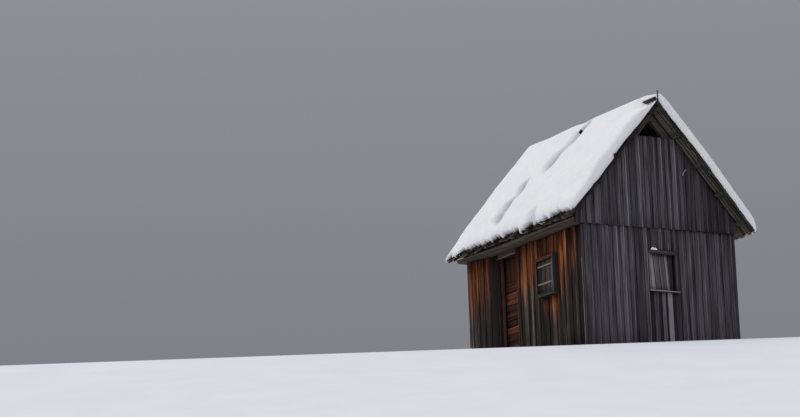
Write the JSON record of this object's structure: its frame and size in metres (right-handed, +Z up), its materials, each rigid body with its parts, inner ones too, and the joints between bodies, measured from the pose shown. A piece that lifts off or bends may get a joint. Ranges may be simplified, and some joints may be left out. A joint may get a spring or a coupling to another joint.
{
  "type": "small boarded mountain hut with a snow-covered gable roof",
  "caption": "Small timber-framed hut with upright boards, a hinged door and a steep gable roof under settled snow.",
  "frame": {"origin": "on the ground, under the middle of the whole hut", "axes": "+Z up, +Y from the window gable to the back gable, +X to the right of someone who faces the window gable"},
  "size_m": [4.7, 4.806, 5.385],
  "materials": {
    "grey_boards": "matte",
    "brown_boards": "matte",
    "timber": "matte",
    "roof_wood": "matte",
    "door_wood": "matte",
    "iron": "matte",
    "snow": "matte"
  },
  "bodies": {
    "hut": {"boards_back": "grey_boards", "boards_back_gable": "grey_boards", "boards_front": "grey_boards", "boards_front_gable": "grey_boards", "boards_left_back": "brown_boards", "boards_left_front": "brown_boards", "boards_right": "grey_boards", "corner_post_back_left": "timber", "corner_post_back_right": "timber", "corner_post_front_left": "timber", "corner_post_front_right": "timber", "door_lintel": "timber", "door_post_back": "timber", "door_post_front": "timber", "door_threshold": "timber", "eave_beam_left": "timber", "eave_beam_right": "timber", "floor_joist": "timber", "floor_planks": "timber", "front_window_boards": "grey_boards", "front_window_frame": "timber", "gable_rail_back": "timber", "gable_rail_front": "timber", "ground_beam_back": "timber", "ground_beam_front": "timber", "ground_beam_left": "timber", "ground_beam_right": "timber", "hinge_pin_lower": "iron", "hinge_pin_upper": "iron", "rafter_pair_1": "timber", "rafter_pair_2": "timber", "rafter_pair_3": "timber", "rafter_pair_4": "timber", "ridge_stick": "timber", "roof_shakes_left": "roof_wood", "roof_shakes_right": "roof_wood", "roof_snow_left": "snow", "roof_snow_right": "snow", "side_window_frame": "timber", "side_window_panel": "grey_boards", "tie_beam_back": "timber", "tie_beam_front": "timber", "wall_rail_back": "timber", "wall_rail_front": "timber", "wall_rail_left": "timber", "wall_rail_right": "timber"},
    "door": {"door_leaf": "door_wood", "hinge_strap_lower": "iron", "hinge_strap_upper": "iron"}
  },
  "joints": [
    {"name": "door_hinge", "type": "hinge", "parent": "hut", "child": "door", "pos_m": [-1.692, 0.258, 1.4], "axis": [0, 0, -1], "range_deg": [0, 100]}
  ]
}
